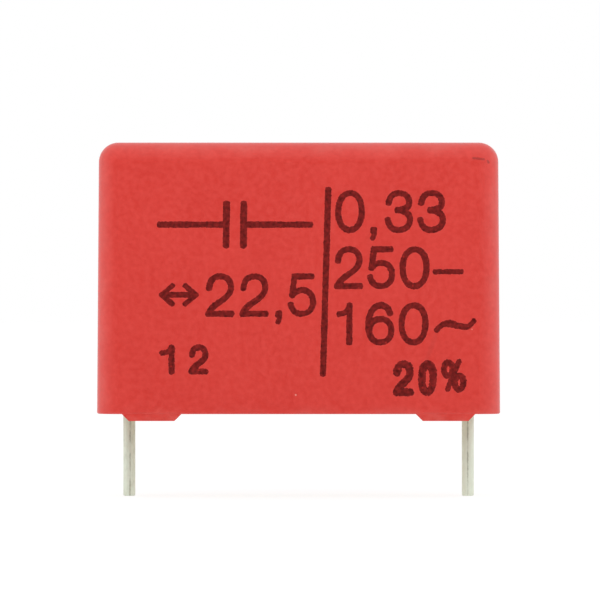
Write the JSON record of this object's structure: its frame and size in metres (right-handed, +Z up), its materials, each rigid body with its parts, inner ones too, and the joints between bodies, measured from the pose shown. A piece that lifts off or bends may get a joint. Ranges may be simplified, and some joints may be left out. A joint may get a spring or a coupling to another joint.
{
  "type": "box film capacitor",
  "caption": "Moulded rectangular box film capacitor with rounded edges, stand-off feet and straight round leads for soldering into a circuit board.",
  "frame": {"origin": "midway between the leads, on the plane of the feet that stands on the circuit board", "axes": "+Z up from the board to the closed top of the case, +X along the row of leads, -Y out of the printed long face"},
  "size_m": [0.0266, 0.0084, 0.0233],
  "materials": {
    "case_plastic": "satin",
    "casting_resin": "satin",
    "metallized_film": "satin",
    "sprayed_metal": "matte",
    "tinned_wire": "satin"
  },
  "bodies": {
    "root": {"case": "case_plastic", "potting_resin": "casting_resin", "film_winding": "metallized_film", "end_spray_left": "sprayed_metal", "end_spray_right": "sprayed_metal", "lead_left": "tinned_wire", "lead_right": "tinned_wire"}
  },
  "joints": []
}
